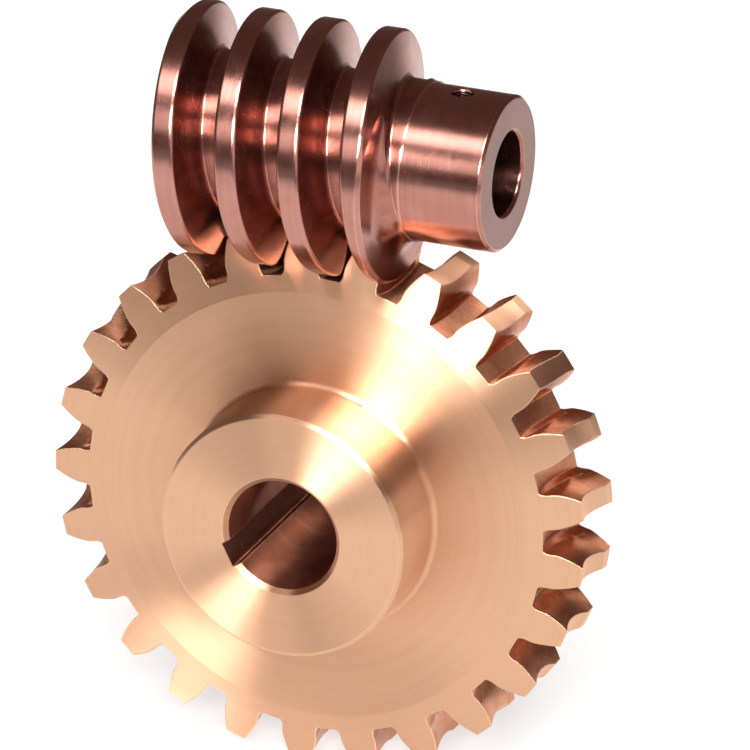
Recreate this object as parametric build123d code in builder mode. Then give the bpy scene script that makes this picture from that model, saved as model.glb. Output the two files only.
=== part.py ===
from build123d import *
import math
import os

os.makedirs("parts", exist_ok=True)

# Worm gear set, module 4, ratio 25:1, in millimetres.
# Origin: the wheel's axis at the middle of its teeth. The wheel turns about Y, its
# long boss towards -Y. The worm turns about X, above the wheel, its hub towards +X.

# Gearing
module = 4.0
wheel_teeth = 25
pressure_angle = math.radians(14.5)
worm_pitch_r = 20.0
wheel_pitch_r = module * wheel_teeth / 2
centre_distance = worm_pitch_r + wheel_pitch_r
axial_pitch = math.pi * module
mesh_x = 3.4  # where a worm crest stands in a tooth space at rest
worm_thinning = 0.08  # taken off each worm flank
wheel_relief = 0.10  # added to each side of a tooth space

# Worm
worm_tip_r = 24.0
worm_root_r = 15.2
worm_left = -30.0
worm_shoulder = 14.5
worm_root_end = 18.8
shoulder_fillet = 4.3
worm_right = 35.0
worm_hub_r = 14.9
worm_bore_r = 8.0
worm_bore_chamfer = 0.5
crest_round = 0.45

# Set screw in the worm's hub, M4
screw_x = 25.6
screw_r = 2.0
screw_hole_r = 2.04
screw_low = 8.5
screw_high = 14.1
screw_socket_across = 2.0
screw_socket_depth = 2.2

# Wheel
rim_front = 8.5
rim_back = 10.0
outer_r = 54.2
throat_r = 17.0  # radius of the hollow in the tooth tips, about the worm's axis
bevel_start_r = 43.2
back_bevel_start_r = 49.5
back_bevel_edge = 9.0
boss_r = 24.5
boss_front = 24.5
boss_chamfer = 0.7
boss_fillet = 1.2
back_boss_r = 20.0
back_boss = 13.0
wheel_bore_r = 11.0
wheel_bore_chamfer = 0.9
keyway_width = 5.0  # for a low 5 x 3 key
keyway_top = 12.2  # bore centre to keyway floor
keyway_angle = 207.5  # from +X towards +Z
root_clearance = 0.8

# Fixed shim rings behind the wheel and at the worm's left end, 22 x 32 x 1 and 16 x 22 x 1
shim_gap = 0.2
shim_thick = 1.0
wheel_shim_in_r = 11.1
wheel_shim_out_r = 16.0
worm_shim_in_r = 8.1
worm_shim_out_r = 11.0


# ---------------------------------------------------------------- worm
def thread_half_width(r):
    return axial_pitch / 4 - (r - worm_pitch_r) * math.tan(pressure_angle)


def worm_half(r):
    return thread_half_width(r) - worm_thinning


# The thread is straight-sided in the worm's axial plane. Its path starts above the axis,
# past the left end, and brings a crest under the axis at mesh_x.
turns = 5.3
path_start_x = mesh_x - 3.5 * axial_pitch

worm_axis = Axis((0, 0, centre_distance), (1, 0, 0))

with BuildPart() as thread:
    with BuildLine() as helix_line:
        Helix(
            pitch=axial_pitch,
            height=turns * axial_pitch,
            radius=worm_pitch_r,
            center=(path_start_x, 0, centre_distance),
            direction=(1, 0, 0),
        )
    start = helix_line.line @ 0
    outward = (start - Vector(path_start_x, 0, centre_distance)).normalized()
    axial_plane = Plane(
        origin=start, x_dir=(1, 0, 0), z_dir=Vector(1, 0, 0).cross(outward)
    )
    with BuildSketch(axial_plane) as thread_section:
        with BuildLine():
            Polyline(
                (-worm_half(worm_root_r) - 0.45, worm_root_r - 1.2 - worm_pitch_r),
                (-worm_half(worm_root_r) - 0.45, worm_root_r - 0.02 - worm_pitch_r),
                (-worm_half(worm_root_r + 0.35) - 0.12, worm_root_r + 0.3 - worm_pitch_r),
                (-worm_half(worm_root_r + 0.9), worm_root_r + 0.9 - worm_pitch_r),
                (-worm_half(worm_tip_r - crest_round), worm_tip_r - crest_round - worm_pitch_r),
                (-worm_half(worm_tip_r) + 0.14, worm_tip_r - 0.13 - worm_pitch_r),
                (-worm_half(worm_tip_r) + crest_round, worm_tip_r - worm_pitch_r),
                (worm_half(worm_tip_r) - crest_round, worm_tip_r - worm_pitch_r),
                (worm_half(worm_tip_r) - 0.14, worm_tip_r - 0.13 - worm_pitch_r),
                (worm_half(worm_tip_r - crest_round), worm_tip_r - crest_round - worm_pitch_r),
                (worm_half(worm_root_r + 0.9), worm_root_r + 0.9 - worm_pitch_r),
                (worm_half(worm_root_r + 0.35) + 0.12, worm_root_r + 0.3 - worm_pitch_r),
                (worm_half(worm_root_r) + 0.45, worm_root_r - 0.02 - worm_pitch_r),
                (worm_half(worm_root_r) + 0.45, worm_root_r - 1.2 - worm_pitch_r),
                close=True,
            )
        make_face()
    sweep(path=helix_line.line, is_frenet=True)

    # the blank's ends: the thread is turned away past them
    with BuildSketch(Plane.XZ):
        with BuildLine():
            Polyline(
                (worm_left, centre_distance + worm_root_r - 3),
                (worm_left, centre_distance + worm_tip_r - 1.2),
                (worm_left + 1.6, centre_distance + worm_tip_r + 0.4),
                (worm_shoulder - 1.2, centre_distance + worm_tip_r + 0.4),
                (worm_shoulder, centre_distance + worm_tip_r - 0.8),
                (worm_shoulder, centre_distance + worm_root_r + shoulder_fillet),
            )
            ThreePointArc(
                (worm_shoulder, centre_distance + worm_root_r + shoulder_fillet),
                (
                    worm_shoulder + shoulder_fillet * (1 - math.sqrt(0.5)),
                    centre_distance + worm_root_r + shoulder_fillet * (1 - math.sqrt(0.5)),
                ),
                (worm_shoulder + shoulder_fillet, centre_distance + worm_root_r),
            )
            Polyline(
                (worm_shoulder + shoulder_fillet, centre_distance + worm_root_r),
                (worm_shoulder + shoulder_fillet, centre_distance + worm_root_r - 3),
                (worm_left, centre_distance + worm_root_r - 3),
            )
        make_face()
    revolve(axis=worm_axis, mode=Mode.INTERSECT)

with BuildPart() as worm:
    # core and hub with the bore, turned from one bar
    with BuildSketch(Plane.XZ):
        with BuildLine():
            Polyline(
                (worm_left, centre_distance + worm_bore_r + worm_bore_chamfer),
                (worm_left, centre_distance + worm_root_r - 1.0),
                (worm_left + 1.0, centre_distance + worm_root_r),
                (worm_root_end, centre_distance + worm_root_r),
                (worm_root_end, centre_distance + worm_hub_r),
                (worm_right - 0.6, centre_distance + worm_hub_r),
                (worm_right, centre_distance + worm_hub_r - 0.6),
                (worm_right, centre_distance + worm_bore_r + worm_bore_chamfer),
                (worm_right - worm_bore_chamfer, centre_distance + worm_bore_r),
                (worm_left + worm_bore_chamfer, centre_distance + worm_bore_r),
                close=True,
            )
        make_face()
    revolve(axis=worm_axis)
    # set screw hole with its chamfered mouth, square to the axis, on top at rest
    with BuildSketch(Plane.XZ):
        with BuildLine():
            Polyline(
                (screw_x, centre_distance + 4),
                (screw_x + screw_hole_r, centre_distance + 4),
                (screw_x + screw_hole_r, centre_distance + worm_hub_r - 0.45),
                (screw_x + screw_hole_r + 0.8, centre_distance + worm_hub_r + 0.35),
                (screw_x + screw_hole_r + 0.8, centre_distance + worm_hub_r + 3),
                (screw_x, centre_distance + worm_hub_r + 3),
                close=True,
            )
        make_face()
    revolve(axis=Axis((screw_x, 0, 0), (0, 0, 1)), mode=Mode.SUBTRACT)
    add(thread.part)

worm.part.label = "worm"
export_step(worm.part, "parts/worm.step")

# ---------------------------------------------------------------- set screw
with BuildPart() as worm_set_screw:
    with BuildSketch(Plane.XY.offset(centre_distance + screw_low)):
        with Locations((screw_x, 0)):
            Circle(screw_r)
    extrude(amount=screw_high - screw_low)
    chamfer(worm_set_screw.edges().group_by(Axis.Z)[0], 0.5)
    chamfer(worm_set_screw.edges().group_by(Axis.Z)[-1], 0.2)
    with BuildSketch(Plane.XY.offset(centre_distance + screw_high)):
        with Locations((screw_x, 0)):
            RegularPolygon(screw_socket_across / 2, 6, major_radius=False)
    extrude(amount=-screw_socket_depth, mode=Mode.SUBTRACT)

worm_set_screw.part.label = "worm_set_screw"
export_step(worm_set_screw.part, "parts/worm_set_screw.step")


# ---------------------------------------------------------------- wheel
def space_limits(y, rho):
    """Both edges of one tooth space at radius rho in the plane y, as angles from +Z
    towards +X: the furthest that the worm's thread sweeps as the pair turns."""
    tip = math.sqrt((worm_tip_r + root_clearance) ** 2 - y * y)
    reach = math.acos(min(1.0, (centre_distance - tip) / rho))
    low, high = 9.0, -9.0
    steps = 160
    for i in range(steps + 1):
        theta = reach * (2 * i / steps - 1)
        z = rho * math.cos(theta) - centre_distance
        r = math.hypot(y, z)
        t = 2 * math.pi + math.atan2(z, y)
        middle = mesh_x + axial_pitch * (t - 1.5 * math.pi) / (2 * math.pi)
        half = thread_half_width(r) + wheel_relief
        x = rho * math.sin(theta)
        high = max(high, theta - (x - middle - half) / wheel_pitch_r)
        low = min(low, theta - (x - middle + half) / wheel_pitch_r)
    return low, high


def space_outline(y):
    """Right flank then left flank of a tooth space, each from the root outwards."""
    root = centre_distance - math.sqrt((worm_tip_r + root_clearance) ** 2 - y * y)
    top = outer_r + 1.6
    right, left = [], []
    for k in range(8):
        rho = root + (top - root) * k / 7
        low, high = space_limits(y, rho + (0.02 if k == 0 else 0))
        right.append((rho * math.sin(high), rho * math.cos(high)))
        left.append((rho * math.sin(low), rho * math.cos(low)))
    return right, left


with BuildPart() as tooth_space:
    for y in (-11.2, -5.6, 0.0, 5.6, 11.2):
        right, left = space_outline(y)
        with BuildSketch(Plane.XZ.offset(-y)):
            with BuildLine():
                Spline(*right)
                Line(right[-1], left[-1])
                Spline(*reversed(left))
                Line(left[0], right[0])
            make_face()
    loft()

wheel_axis = Axis((0, 0, 0), (0, 1, 0))
throat_edge_y = math.sqrt(throat_r**2 - (centre_distance - outer_r) ** 2)

with BuildPart() as worm_wheel:
    # turned blank: rim with hollowed tips and bevelled faces, a boss on each side
    with BuildSketch(Plane.YZ):
        with BuildLine():
            Polyline(
                (-throat_edge_y, outer_r),
                (-rim_front, bevel_start_r),
                (-rim_front, boss_r),
                (-boss_front + boss_chamfer, boss_r),
                (-boss_front, boss_r - boss_chamfer),
                (-boss_front, 0),
                (back_boss, 0),
                (back_boss, back_boss_r - 0.7),
                (back_boss - 0.7, back_boss_r),
                (rim_back, back_boss_r),
                (rim_back, back_bevel_start_r),
                (back_bevel_edge, outer_r),
                (throat_edge_y, outer_r),
            )
            ThreePointArc(
                (throat_edge_y, outer_r),
                (0, centre_distance - throat_r),
                (-throat_edge_y, outer_r),
            )
        make_face()
    revolve(axis=wheel_axis)
    # 25 tooth spaces
    for k in range(wheel_teeth):
        add(
            tooth_space.part.rotate(wheel_axis, 360 * k / wheel_teeth),
            mode=Mode.SUBTRACT,
        )
    # fillet where the front boss meets the web
    boss_root = [
        e
        for e in worm_wheel.edges().filter_by(GeomType.CIRCLE)
        if abs(e.radius - boss_r) < 0.01 and abs(e.center().Y + rim_front) < 0.01
    ]
    fillet(boss_root, boss_fillet)
    # bore with a chamfer at each end
    with BuildSketch(Plane.YZ):
        with BuildLine():
            Polyline(
                (-boss_front - 1, 0),
                (-boss_front - 1, wheel_bore_r + wheel_bore_chamfer),
                (-boss_front, wheel_bore_r + wheel_bore_chamfer),
                (-boss_front + wheel_bore_chamfer, wheel_bore_r),
                (back_boss - wheel_bore_chamfer, wheel_bore_r),
                (back_boss, wheel_bore_r + wheel_bore_chamfer),
                (back_boss + 1, wheel_bore_r + wheel_bore_chamfer),
                (back_boss + 1, 0),
                close=True,
            )
        make_face()
    revolve(axis=wheel_axis, mode=Mode.SUBTRACT)
    # keyway, right through
    with BuildSketch(
        Plane(
            origin=(0, -boss_front - 1, 0),
            x_dir=(
                math.cos(math.radians(keyway_angle)),
                0,
                math.sin(math.radians(keyway_angle)),
            ),
            z_dir=(0, 1, 0),
        )
    ):
        with Locations((keyway_top / 2, 0)):
            Rectangle(keyway_top, keyway_width)
    extrude(amount=boss_front + back_boss + 2, mode=Mode.SUBTRACT)

worm_wheel.part.label = "worm_wheel"
export_step(worm_wheel.part, "parts/worm_wheel.step")

# ---------------------------------------------------------------- shim rings
with BuildPart() as wheel_shim_ring:
    with BuildSketch(Plane.XZ.offset(-(back_boss + shim_gap))):
        Circle(wheel_shim_out_r)
        Circle(wheel_shim_in_r, mode=Mode.SUBTRACT)
    extrude(amount=-shim_thick)
    chamfer(wheel_shim_ring.edges().filter_by(GeomType.CIRCLE), 0.1)

wheel_shim_ring.part.label = "wheel_shim_ring"
export_step(wheel_shim_ring.part, "parts/wheel_shim_ring.step")

with BuildPart() as worm_shim_ring:
    with BuildSketch(Plane.YZ.offset(worm_left - shim_gap)):
        with Locations((0, centre_distance)):
            Circle(worm_shim_out_r)
            Circle(worm_shim_in_r, mode=Mode.SUBTRACT)
    extrude(amount=-shim_thick)
    chamfer(worm_shim_ring.edges().filter_by(GeomType.CIRCLE), 0.1)

worm_shim_ring.part.label = "worm_shim_ring"
export_step(worm_shim_ring.part, "parts/worm_shim_ring.step")
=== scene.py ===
import math

import bpy
from mathutils import Matrix, Vector


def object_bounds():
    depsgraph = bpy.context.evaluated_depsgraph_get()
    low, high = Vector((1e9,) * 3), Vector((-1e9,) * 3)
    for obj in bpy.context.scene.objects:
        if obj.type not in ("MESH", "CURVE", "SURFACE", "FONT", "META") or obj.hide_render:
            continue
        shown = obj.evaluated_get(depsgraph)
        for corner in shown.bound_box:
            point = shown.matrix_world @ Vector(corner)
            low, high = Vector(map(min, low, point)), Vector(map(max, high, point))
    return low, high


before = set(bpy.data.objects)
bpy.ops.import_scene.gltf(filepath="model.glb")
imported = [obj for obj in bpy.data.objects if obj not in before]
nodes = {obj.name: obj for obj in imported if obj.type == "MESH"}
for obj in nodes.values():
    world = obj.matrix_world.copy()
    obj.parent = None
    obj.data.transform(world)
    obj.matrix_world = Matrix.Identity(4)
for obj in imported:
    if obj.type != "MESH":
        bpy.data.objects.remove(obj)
cad_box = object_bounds()
scene = bpy.context.scene


# ------------------------------------------------------------------ camera
def direction(az, el):
    """Unit vector from the object towards azimuth az and elevation el, in degrees."""
    a, e = math.radians(az), math.radians(el)
    return Vector((math.sin(a) * math.cos(e), -math.cos(a) * math.cos(e), math.sin(e)))


CAM_AZ, CAM_EL, CAM_ROLL = 21.39, 22.52, 0.86
CAM_TARGET = Vector((0.00896, 0.0, 0.02516))
CAM_DISTANCE = 1.65064

back = direction(CAM_AZ, CAM_EL)
right = Vector((math.cos(math.radians(CAM_AZ)), math.sin(math.radians(CAM_AZ)), 0.0))
up = back.cross(right)
roll = math.radians(CAM_ROLL)
right, up = (
    right * math.cos(roll) + up * math.sin(roll),
    up * math.cos(roll) - right * math.sin(roll),
)
cam_data = bpy.data.cameras.new("camera")
cam_data.sensor_width = 36.0
cam_data.lens = 418.8
cam_data.clip_start = 0.05
cam_data.clip_end = 50.0
camera = bpy.data.objects.new("camera", cam_data)
scene.collection.objects.link(camera)
place = Matrix((
    (right.x, up.x, back.x, 0.0),
    (right.y, up.y, back.y, 0.0),
    (right.z, up.z, back.z, 0.0),
    (0.0, 0.0, 0.0, 1.0),
))
place.translation = CAM_TARGET + back * CAM_DISTANCE
camera.matrix_world = place
scene.camera = camera

scene.view_settings.view_transform = "Standard"
scene.view_settings.look = "None"
scene.view_settings.exposure = 0.20
scene.view_settings.gamma = 0.84


# ------------------------------------------------------------------ node helpers
class Graph:
    """A few short ways to write shader nodes."""

    def __init__(self, name):
        self.material = bpy.data.materials.new(name)
        self.material.use_nodes = True
        self.tree = self.material.node_tree
        self.tree.nodes.clear()
        self.out = self.add("ShaderNodeOutputMaterial")
        self.shader = self.add("ShaderNodeBsdfPrincipled")
        self.tree.links.new(self.shader.outputs["BSDF"], self.out.inputs["Surface"])
        coords = self.add("ShaderNodeTexCoord")
        self.position = coords.outputs["Object"]
        self.normal = coords.outputs["Normal"]

    def add(self, kind, **settings):
        node = self.tree.nodes.new(kind)
        for key, value in settings.items():
            setattr(node, key, value)
        return node

    def plug(self, value, socket):
        if isinstance(value, bpy.types.NodeSocket):
            self.tree.links.new(value, socket)
        else:
            socket.default_value = value

    def math(self, operation, a, b=None, c=None, clamp=False):
        node = self.add("ShaderNodeMath", operation=operation, use_clamp=clamp)
        for value, socket in zip((a, b, c), node.inputs):
            if value is not None:
                self.plug(value, socket)
        return node.outputs[0]

    def vector(self, operation, a, b=None):
        node = self.add("ShaderNodeVectorMath", operation=operation)
        self.plug(a, node.inputs[0])
        if b is not None:
            self.plug(b, node.inputs[1])
        return node.outputs["Value"] if operation in ("LENGTH", "DOT_PRODUCT") else node.outputs["Vector"]

    def split(self, vector):
        node = self.add("ShaderNodeSeparateXYZ")
        self.plug(vector, node.inputs[0])
        return node.outputs

    def join(self, x, y, z):
        node = self.add("ShaderNodeCombineXYZ")
        for value, socket in zip((x, y, z), node.inputs):
            self.plug(value, socket)
        return node.outputs[0]

    def step(self, value, low, high, to_low=0.0, to_high=1.0):
        """A smooth step from to_low at low to to_high at high."""
        node = self.add("ShaderNodeMapRange", interpolation_type="SMOOTHSTEP")
        self.plug(value, node.inputs["Value"])
        node.inputs["From Min"].default_value = low
        node.inputs["From Max"].default_value = high
        node.inputs["To Min"].default_value = to_low
        node.inputs["To Max"].default_value = to_high
        return node.outputs["Result"]

    def noise(self, vector, scale, detail=3.0, roughness=0.5, distortion=0.0):
        node = self.add("ShaderNodeTexNoise", noise_dimensions="3D")
        self.plug(vector, node.inputs["Vector"])
        node.inputs["Scale"].default_value = scale
        node.inputs["Detail"].default_value = detail
        node.inputs["Roughness"].default_value = roughness
        node.inputs["Distortion"].default_value = distortion
        return node.outputs[0]

    def lines(self, value, scale, detail=2.0, roughness=0.6):
        """Noise along one number, for turning marks."""
        node = self.add("ShaderNodeTexNoise", noise_dimensions="1D")
        self.plug(value, node.inputs["W"])
        node.inputs["Scale"].default_value = scale
        node.inputs["Detail"].default_value = detail
        node.inputs["Roughness"].default_value = roughness
        return node.outputs[0]

    def blend(self, factor, a, b, mode="MIX"):
        node = self.add("ShaderNodeMix", data_type="RGBA", blend_type=mode)
        self.plug(factor, node.inputs[0])
        self.plug(a, node.inputs[6])
        self.plug(b, node.inputs[7])
        return node.outputs[2]

    def edges(self, radius):
        """(rounded normal, how close this point is to an edge)."""
        node = self.add("ShaderNodeBevel", samples=6)
        node.inputs["Radius"].default_value = radius
        geometry = self.add("ShaderNodeNewGeometry")
        same = self.vector("DOT_PRODUCT", node.outputs[0], geometry.outputs["Normal"])
        return node.outputs[0], self.step(same, 0.995, 0.90)

    def bump(self, height, distance, strength=1.0, normal=None):
        node = self.add("ShaderNodeBump")
        node.inputs["Strength"].default_value = strength
        node.inputs["Distance"].default_value = distance
        self.plug(height, node.inputs["Height"])
        if normal is not None:
            self.plug(normal, node.inputs["Normal"])
        return node.outputs[0]


def metal(graph, color, roughness, normal, anisotropy=0.0, tangent_axis=None):
    shader = graph.shader
    shader.inputs["Metallic"].default_value = 1.0
    graph.plug(color, shader.inputs["Base Color"])
    graph.plug(roughness, shader.inputs["Roughness"])
    graph.plug(normal, shader.inputs["Normal"])
    shader.inputs["Anisotropic"].default_value = anisotropy
    if tangent_axis:
        shader.inputs["Anisotropic Rotation"].default_value = 0.25
        tangent = graph.add("ShaderNodeTangent", direction_type="RADIAL", axis=tangent_axis)
        graph.plug(tangent.outputs[0], shader.inputs["Tangent"])
    return graph.material


# ------------------------------------------------------------------ wheel
def wheel_material():
    g = Graph("wheel_bronze_turned")
    x, y, z = g.split(g.position)
    nx, ny, nz = g.split(g.normal)
    r = g.vector("LENGTH", g.join(x, 0.0, z))
    along = g.math("ABSOLUTE", ny)

    # the turned faces, the hobbed spaces between the teeth, and the bore
    outside = g.step(r, 0.0380, 0.0400)
    cut = g.math("MULTIPLY", outside, g.step(along, 0.80, 0.60))
    radial = g.math("DIVIDE", g.math("ADD", g.math("MULTIPLY", nx, x), g.math("MULTIPLY", nz, z)), r)
    land = g.math("MULTIPLY", g.step(r, 0.0518, 0.0526), g.step(radial, 0.80, 0.92))
    space = g.math("SUBTRACT", cut, land, clamp=True)
    bore = g.math("MULTIPLY", g.step(r, 0.0150, 0.0140), g.step(along, 0.80, 0.60))

    # turning marks: rings on the faces, rings along the boss and the bore
    turn = g.math("ADD", g.math("MULTIPLY", r, 1000.0), g.math("MULTIPLY", y, 1000.0))
    fine = g.lines(turn, 5.5, 2.0, 0.7)
    broad = g.lines(turn, 0.55, 3.0, 0.6)
    feed = g.math("SINE", g.math("MULTIPLY", turn, 2 * math.pi / 0.32))
    # hob marks run down the tooth spaces
    mm = g.vector("SCALE", g.position)
    mm.node.inputs["Scale"].default_value = 1000.0
    hob = g.lines(g.math("ADD", g.math("MULTIPLY", r, 1000.0), g.math("MULTIPLY", y, 380.0)), 2.6, 2.0, 0.6)
    grain = g.noise(mm, 1.6, 4.0, 0.6)
    cloud = g.noise(mm, 0.06, 3.0, 0.55, 0.4)
    smear = g.noise(mm, 0.22, 5.0, 0.6, 0.8)

    rounded, edge = g.edges(0.00035)

    face = g.blend(g.step(cloud, 0.35, 0.68), (0.690, 0.450, 0.308, 1), (0.738, 0.487, 0.338, 1))
    face = g.blend(g.step(broad, 0.30, 0.75, 0.0, 0.20), face, (0.66, 0.36, 0.215, 1))
    # painted shade: the spaces between the teeth are coloured darker and redder than the turned faces
    tooth_space_shade = g.blend(g.step(smear, 0.35, 0.70), (0.60, 0.290, 0.175, 1), (0.70, 0.380, 0.250, 1))
    # painted shade: the bore is coloured very dark
    bore_shade = g.blend(g.step(smear, 0.35, 0.70), (0.30, 0.125, 0.080, 1), (0.38, 0.170, 0.110, 1))
    color = g.blend(space, face, tooth_space_shade)
    color = g.blend(bore, color, bore_shade)
    # painted highlight: the colour is brightened along the edges
    color = g.blend(g.math("MULTIPLY", edge, 0.55), color, (0.95, 0.70, 0.50, 1))

    rough = g.math("ADD", g.math("MULTIPLY", fine, 0.10), g.step(cloud, 0.3, 0.7, 0.25, 0.31))
    rough = g.math("ADD", rough, g.math("MULTIPLY", space, -0.06))
    rough = g.math("ADD", rough, g.math("MULTIPLY", grain, 0.04), clamp=True)

    ring = g.math("ADD", g.math("MULTIPLY", fine, 0.6), g.math("MULTIPLY", feed, 0.06))
    ring = g.math("ADD", ring, g.math("MULTIPLY", broad, 0.5))
    marks = g.blend(space, ring, g.math("MULTIPLY", hob, 1.2))
    height = g.math("ADD", marks, g.math("MULTIPLY", grain, 0.25))
    normal = g.bump(height, 0.000012, 1.0, rounded)
    return metal(g, color, rough, normal, 1.0, "Y")


# ------------------------------------------------------------------ worm
WORM_Z = 0.070


def worm_material():
    g = Graph("worm_bronze_polished")
    x, y, z = g.split(g.position)
    nx, ny, nz = g.split(g.normal)
    r = g.vector("LENGTH", g.join(0.0, y, g.math("SUBTRACT", z, WORM_Z)))
    along = g.math("ABSOLUTE", nx)
    mm = g.vector("SCALE", g.position)
    mm.node.inputs["Scale"].default_value = 1000.0

    turn = g.math("ADD", g.math("MULTIPLY", r, 1000.0), g.math("MULTIPLY", x, 1000.0))
    fine = g.lines(turn, 6.5, 2.0, 0.7)
    broad = g.lines(turn, 0.7, 3.0, 0.6)
    grain = g.noise(mm, 1.8, 4.0, 0.6)
    cloud = g.noise(mm, 0.08, 3.0, 0.55, 0.5)
    smear = g.noise(mm, 0.25, 5.0, 0.6, 0.9)

    bore = g.step(r, 0.0088, 0.0080)
    root = g.math("MULTIPLY", g.step(r, 0.0190, 0.0160), g.step(x, 0.0195, 0.0175))
    rounded, edge = g.edges(0.00035)

    skin = g.blend(g.step(cloud, 0.35, 0.68), (0.455, 0.240, 0.205, 1), (0.520, 0.290, 0.250, 1))
    skin = g.blend(g.step(broad, 0.30, 0.75, 0.0, 0.25), skin, (0.38, 0.175, 0.140, 1))
    # painted shade: a darker colour is laid into the thread roots and the bore
    hollow_shade = g.blend(g.step(smear, 0.35, 0.70), (0.31, 0.130, 0.100, 1), (0.42, 0.200, 0.160, 1))
    color = g.blend(g.math("MULTIPLY", root, 0.7), skin, hollow_shade)
    color = g.blend(g.math("MULTIPLY", bore, 0.8), color, hollow_shade)
    # painted shade: the end face facing +X is coloured darker
    end = g.math("MULTIPLY", g.step(nx, 0.90, 0.97), g.step(x, 0.0335, 0.0345))
    color = g.blend(end, color, (0.285, 0.165, 0.140, 1))
    # painted highlight: the colour is brightened along the edges
    color = g.blend(g.math("MULTIPLY", edge, 0.6), color, (0.92, 0.66, 0.52, 1))

    rough = g.math("ADD", g.math("MULTIPLY", fine, 0.08), g.step(smear, 0.3, 0.7, 0.15, 0.21))
    rough = g.math("ADD", rough, g.math("MULTIPLY", grain, 0.03), clamp=True)
    height = g.math("ADD", g.math("MULTIPLY", fine, 0.6), g.math("MULTIPLY", broad, 0.5))
    height = g.math("ADD", height, g.math("MULTIPLY", grain, 0.2))
    normal = g.bump(height, 0.000008, 1.0, rounded)
    return metal(g, color, rough, normal, 0.6, "X")


# ------------------------------------------------------------------ screw and shim rings
def screw_material():
    g = Graph("screw_black_oxide")
    mm = g.vector("SCALE", g.position)
    mm.node.inputs["Scale"].default_value = 1000.0
    smear = g.noise(mm, 0.7, 5.0, 0.65, 0.6)
    grain = g.noise(mm, 4.0, 4.0, 0.6)
    rounded, edge = g.edges(0.00015)
    color = g.blend(g.step(smear, 0.35, 0.7), (0.045, 0.043, 0.045, 1), (0.085, 0.078, 0.075, 1))
    # painted highlight: the colour is brightened along the edges
    color = g.blend(g.math("MULTIPLY", edge, 0.7), color, (0.42, 0.40, 0.38, 1))
    rough = g.step(grain, 0.3, 0.7, 0.30, 0.46)
    # thread turns as ripples along z, over the whole screw
    x, y, z = g.split(g.position)
    turns = g.math("SINE", g.math("MULTIPLY", z, 2 * math.pi / 0.0007))
    height = g.math("ADD", g.math("MULTIPLY", turns, 0.5), g.math("MULTIPLY", grain, 0.15))
    normal = g.bump(height, 0.00008, 1.0, rounded)
    return metal(g, color, rough, normal)


def shim_material():
    g = Graph("shim_ground_steel")
    mm = g.vector("SCALE", g.position)
    mm.node.inputs["Scale"].default_value = 1000.0
    stretched = g.vector("MULTIPLY", mm, (1.0, 1.0, 9.0))
    scratch = g.noise(stretched, 0.9, 4.0, 0.65, 0.2)
    cloud = g.noise(mm, 0.15, 3.0, 0.5, 0.5)
    rounded, edge = g.edges(0.00012)
    color = g.blend(g.step(cloud, 0.35, 0.68), (0.50, 0.49, 0.475, 1), (0.62, 0.61, 0.59, 1))
    # painted highlight: the colour is brightened along the edges
    color = g.blend(g.math("MULTIPLY", edge, 0.6), color, (0.80, 0.79, 0.77, 1))
    rough = g.step(scratch, 0.3, 0.7, 0.22, 0.36)
    normal = g.bump(scratch, 0.000012, 1.0, rounded)
    return metal(g, color, rough, normal)


def dress(node, material):
    mesh = nodes[node].data
    mesh.materials.clear()
    mesh.materials.append(material)


dress("worm_wheel", wheel_material())
dress("worm", worm_material())
dress("worm_set_screw", screw_material())
shim = shim_material()
dress("wheel_shim_ring", shim)
dress("worm_shim_ring", shim)

# ------------------------------------------------------------------ floor
floor_z = cad_box[0][2] - 0.0001
floor_mesh = bpy.data.meshes.new("floor")
half = 3.0
floor_mesh.from_pydata(
    [(-half, -half, floor_z), (half, -half, floor_z), (half, half, floor_z), (-half, half, floor_z)],
    [],
    [(0, 1, 2, 3)],
)
floor = bpy.data.objects.new("floor", floor_mesh)
scene.collection.objects.link(floor)
g = Graph("floor_white")
# painted light: the floor glows white around the object and fades to dark grey further out, which the upper
# faces mirror
x, y, z = g.split(g.position)
out = g.vector("LENGTH", g.join(x, g.math("SUBTRACT", y, 0.10), 0.0))
white = g.step(out, 0.45, 0.82, 1.0, 0.22)
g.plug(g.blend(white, (0.0, 0.0, 0.0, 1), (0.35, 0.35, 0.35, 1)), g.shader.inputs["Base Color"])
g.plug(g.math("MULTIPLY", white, 0.60), g.shader.inputs["Emission Strength"])
g.shader.inputs["Roughness"].default_value = 0.9
g.shader.inputs["Specular IOR Level"].default_value = 0.1
g.shader.inputs["Emission Color"].default_value = (1.0, 1.0, 1.0, 1)
floor_mesh.materials.append(g.material)


# ------------------------------------------------------------------ lights
def softbox(name, az, el, distance, width, height, power, color=(1.0, 1.0, 1.0)):
    data = bpy.data.lights.new(name, "AREA")
    data.shape = "RECTANGLE"
    data.size = width
    data.size_y = height
    data.energy = power
    data.color = color
    light = bpy.data.objects.new(name, data)
    scene.collection.objects.link(light)
    toward = direction(az, el)
    light.location = Vector((0.0, 0.0, 0.03)) + toward * distance
    light.rotation_euler = toward.to_track_quat("Z", "Y").to_euler()
    return light


def box_light(name, az, el, distance, wide, high, radiance, color=(1.0, 0.985, 0.965)):
    """A softbox that covers wide by high degrees seen from the object."""
    w = 2 * distance * math.tan(math.radians(wide / 2))
    h = 2 * distance * math.tan(math.radians(high / 2))
    return softbox(name, az, el, distance, w, h, radiance * math.pi * w * h, color)


box_light("front_box", 17.0, 27.0, 3.0, 30.0, 16.0, 26.0)
box_light("top_box", 24.0, 56.0, 2.6, 36.0, 16.0, 14.0)
box_light("left_high_box", -36.0, 52.0, 2.6, 30.0, 18.0, 2.6)
box_light("left_low_box", -22.0, 21.0, 2.8, 20.0, 16.0, 0.9)
box_light("right_card", 82.0, 4.0, 1.2, 60.0, 22.0, 1.0)

world = bpy.data.worlds.new("studio")
scene.world = world
world.use_nodes = True
world.node_tree.nodes["Background"].inputs["Color"].default_value = (1.0, 0.66, 0.56, 1)
world.node_tree.nodes["Background"].inputs["Strength"].default_value = 0.17
